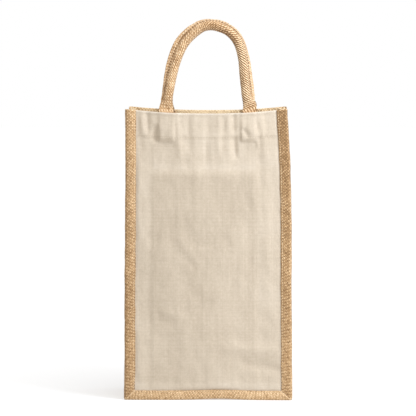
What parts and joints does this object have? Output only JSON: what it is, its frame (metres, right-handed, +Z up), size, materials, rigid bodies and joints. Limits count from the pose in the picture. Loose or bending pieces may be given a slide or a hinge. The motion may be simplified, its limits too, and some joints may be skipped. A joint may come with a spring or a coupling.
{
  "type": "wine gift bag",
  "caption": "Wine gift bag with a canvas face framed in jute, jute sides and base, an inner bottle divider and hinged padded rope handles.",
  "frame": {"origin": "centre of the underside, at the middle of the bag's width and depth", "axes": "+X to the right seen from the canvas front, -Y towards the viewer of the front, +Z up"},
  "size_m": [0.2026, 0.1032, 0.4605],
  "materials": {
    "canvas": "matte",
    "jute": "matte",
    "jute_binding": "matte",
    "handle_jute": "matte",
    "cotton_rope": "matte",
    "thread": "matte"
  },
  "bodies": {
    "bag": {"base_gusset": "jute", "panel_hem_stitching": "thread", "gusset_hem_stitching": "thread", "divider_stitching": "thread", "left_gusset": "jute", "divider_left_half": "jute", "right_gusset": "jute", "divider_right_half": "jute", "front_panel": "canvas", "front_bottom_binding": "jute_binding", "front_binding_stitching": "thread", "front_left_binding": "jute_binding", "front_handle_left_tab": "handle_jute", "front_right_binding": "jute_binding", "front_handle_right_tab": "handle_jute", "back_panel": "jute", "back_bottom_binding": "jute_binding", "back_binding_stitching": "thread", "back_left_binding": "jute_binding", "back_handle_left_tab": "handle_jute", "back_right_binding": "jute_binding", "back_handle_right_tab": "handle_jute"},
    "front_handle": {"front_handle_cover": "handle_jute", "front_handle_rope": "cotton_rope", "front_handle_stitching": "thread"},
    "back_handle": {"back_handle_cover": "handle_jute", "back_handle_rope": "cotton_rope", "back_handle_stitching": "thread"}
  },
  "joints": [
    {"name": "front_handle_fold", "type": "hinge", "parent": "bag", "child": "front_handle", "pos_m": [0, -0.0461, 0.355], "axis": [1, 0, 0], "range_deg": [-24, 120]},
    {"name": "back_handle_fold", "type": "hinge", "parent": "bag", "child": "back_handle", "pos_m": [0, 0.0461, 0.355], "axis": [-1, 0, 0], "range_deg": [-24, 120]}
  ]
}
